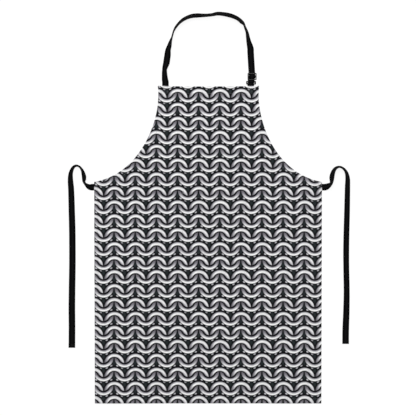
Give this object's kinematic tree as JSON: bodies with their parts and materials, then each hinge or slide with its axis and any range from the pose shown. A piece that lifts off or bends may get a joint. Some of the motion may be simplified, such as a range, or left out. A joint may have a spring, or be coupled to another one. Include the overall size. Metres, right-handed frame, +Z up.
{
  "type": "bib apron",
  "caption": "Bib apron laid flat, printed cloth with a patch pocket, an adjustable webbing neck strap with slider and ring, and webbing waist ties.",
  "frame": {"origin": "on the floor under the middle of the cloth panel", "axes": "+X towards the wearer's left side seam, +Y up the bib towards the neck strap, +Z up from the floor, out of the printed face"},
  "size_m": [0.8105, 1.1247, 0.0191],
  "materials": {
    "printed_cloth": "plain-woven cloth printed with interlinked grey rings",
    "webbing": "narrow woven black webbing with fine ribs",
    "moulded_plastic": "moulded black acetal, softly shining",
    "grey_thread": "spun sewing thread",
    "black_thread": "spun sewing thread"
  },
  "bodies": {
    "apron": {"apron_panel": "printed_cloth", "pocket": "printed_cloth", "neck_strap_end": "webbing", "strap_tab": "webbing", "left_tie_end": "webbing", "right_tie_end": "webbing", "hem_stitch_bottom": "grey_thread", "hem_stitch_right_side": "grey_thread", "hem_stitch_right_armhole": "grey_thread", "hem_stitch_top": "grey_thread", "hem_stitch_left_armhole": "grey_thread", "hem_stitch_left_side": "grey_thread", "neck_strap_stitch": "grey_thread", "strap_tab_stitch": "grey_thread", "left_tie_stitch": "grey_thread", "right_tie_stitch": "grey_thread", "pocket_seam_stitch": "grey_thread", "pocket_hem_stitch": "grey_thread"},
    "neck_loop": {"neck_strap": "webbing", "strap_adjusting_run": "webbing", "strap_ring": "moulded_plastic"},
    "slider": {"strap_slider": "moulded_plastic"},
    "left_waist_tie": {"left_tie": "webbing", "left_tie_tip_stitch": "black_thread"},
    "right_waist_tie": {"right_tie": "webbing", "right_tie_tip_stitch": "black_thread"}
  },
  "joints": [
    {"name": "neck_loop_swing", "type": "hinge", "parent": "apron", "child": "neck_loop", "pos_m": [0, 0.4609, 0.0028], "axis": [1, 0, 0], "range_deg": [0, 90]},
    {"name": "slider_adjust", "type": "slide", "parent": "neck_loop", "child": "slider", "axis": [-0.0437, 0.999, 0], "range_m": [0, 0.06], "deforming": ["strap_adjusting_run"]},
    {"name": "left_tie_swing", "type": "hinge", "parent": "apron", "child": "left_waist_tie", "pos_m": [-0.32895, 0.165, 0.00055], "axis": [0, 1, 0], "range_deg": [0, 90]},
    {"name": "right_tie_swing", "type": "hinge", "parent": "apron", "child": "right_waist_tie", "pos_m": [0.32895, 0.165, 0.00055], "axis": [0, -1, 0], "range_deg": [0, 90]}
  ]
}
